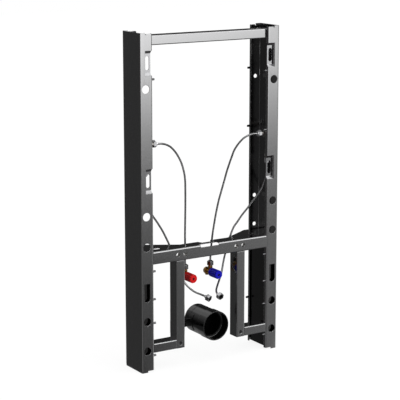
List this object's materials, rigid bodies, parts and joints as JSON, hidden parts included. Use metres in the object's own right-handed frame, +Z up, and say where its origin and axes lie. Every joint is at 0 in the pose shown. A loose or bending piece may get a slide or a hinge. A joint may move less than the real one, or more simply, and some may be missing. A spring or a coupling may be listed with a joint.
{
  "type": "wall hung toilet frame",
  "caption": "Open steel mounting frame for a wall hung toilet: folded channel columns, top bar, shelf with bowl fixings, studs, angle valves, braided hoses and a waste connector.",
  "frame": {"origin": "on the floor, in the middle of the frame's width and of its overall depth, from the mouth of the waste connector to the wall", "axes": "+Z up, -Y out of the front, where the bowl hangs, +Y to the wall, +X to the right seen from the front"},
  "size_m": [0.48, 0.126, 1],
  "materials": {
    "frame_coat": "semi-gloss anthracite coat",
    "stiffener_coat": "satin black coat",
    "bracket_steel": "zinc plated",
    "pipe_plastic": "gloss black",
    "plug_plastic": "matt black",
    "seal_rubber": "matt",
    "valve_brass": "turned",
    "nut_chrome": "plated",
    "red_plastic": "moulded",
    "blue_plastic": "moulded",
    "hose_braid": "fine wire braid"
  },
  "bodies": {
    "root": {"left_column": "frame_coat", "right_column": "frame_coat", "top_bar": "frame_coat", "mid_member": "frame_coat", "left_stud": "frame_coat", "right_stud": "frame_coat", "left_bottom_bar": "frame_coat", "right_bottom_bar": "frame_coat", "left_leg_stiffener": "stiffener_coat", "right_leg_stiffener": "stiffener_coat", "pipe_bracket": "stiffener_coat", "bowl_fixing_nuts": "bracket_steel", "left_upper_bracket": "bracket_steel", "left_lower_bracket": "bracket_steel", "right_upper_bracket": "bracket_steel", "right_lower_bracket": "bracket_steel", "left_front_pins": "bracket_steel", "left_back_pins": "bracket_steel", "right_front_pins": "bracket_steel", "right_back_pins": "bracket_steel", "waste_pipe": "pipe_plastic", "pipe_plug": "plug_plastic", "pipe_seal": "seal_rubber", "hot_valve_body": "valve_brass", "cold_valve_body": "valve_brass", "hot_outlet": "valve_brass", "cold_outlet": "valve_brass", "left_feed_outlet": "valve_brass", "right_feed_outlet": "valve_brass", "hot_valve_nut": "nut_chrome", "cold_valve_nut": "nut_chrome", "hot_outlet_nut": "nut_chrome", "cold_outlet_nut": "nut_chrome", "left_feed_nut": "nut_chrome", "right_feed_nut": "nut_chrome", "left_hose_nut": "nut_chrome", "right_hose_nut": "nut_chrome", "hot_valve_handle": "red_plastic", "cold_valve_handle": "blue_plastic", "hot_hose": "hose_braid", "cold_hose": "hose_braid", "left_feed_hose": "hose_braid", "right_feed_hose": "hose_braid"}
  },
  "joints": []
}
